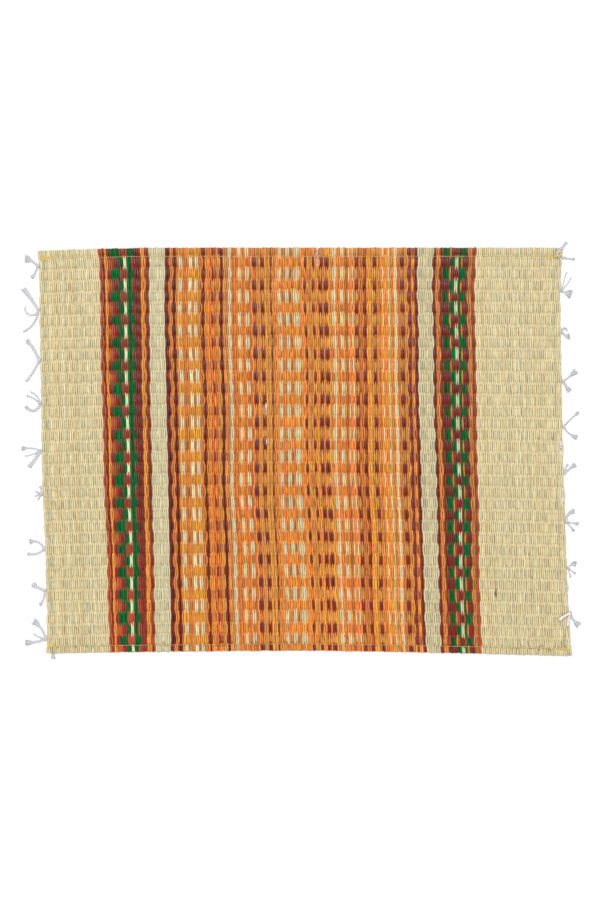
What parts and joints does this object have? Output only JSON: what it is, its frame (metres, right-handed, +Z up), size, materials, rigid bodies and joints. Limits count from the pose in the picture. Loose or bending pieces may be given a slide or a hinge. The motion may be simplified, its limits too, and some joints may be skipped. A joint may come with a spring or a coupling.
{
  "type": "woven reed placemat",
  "caption": "Flat rectangular placemat of fine upright reeds woven over thin cotton warps, with frayed knotted cotton tassels along both sides.",
  "frame": {"origin": "on the flat underside, at the middle of the whole mat with its tassels", "axes": "+X along the cotton warps to the right side, +Y along the reeds to the far cut end, +Z up out of the mat's face"},
  "size_m": [0.4858, 0.3636, 0.0055],
  "materials": {
    "reeds": "natural split reed, satin, in pale straw with dyed maroon, orange and green stripes",
    "cotton": "undyed twisted cotton yarn, matte"
  },
  "bodies": {
    "root": {"mat": "reeds", "tassel_left_1": "cotton", "tassel_left_2": "cotton", "tassel_left_3": "cotton", "tassel_left_4": "cotton", "tassel_left_5": "cotton", "tassel_left_6": "cotton", "tassel_left_7": "cotton", "tassel_left_8": "cotton", "tassel_left_9": "cotton", "tassel_right_1": "cotton", "tassel_right_2": "cotton", "tassel_right_3": "cotton", "tassel_right_4": "cotton", "tassel_right_5": "cotton", "tassel_right_6": "cotton", "tassel_right_7": "cotton", "tassel_right_8": "cotton", "tassel_right_9": "cotton", "thread_end": "cotton"}
  },
  "joints": []
}
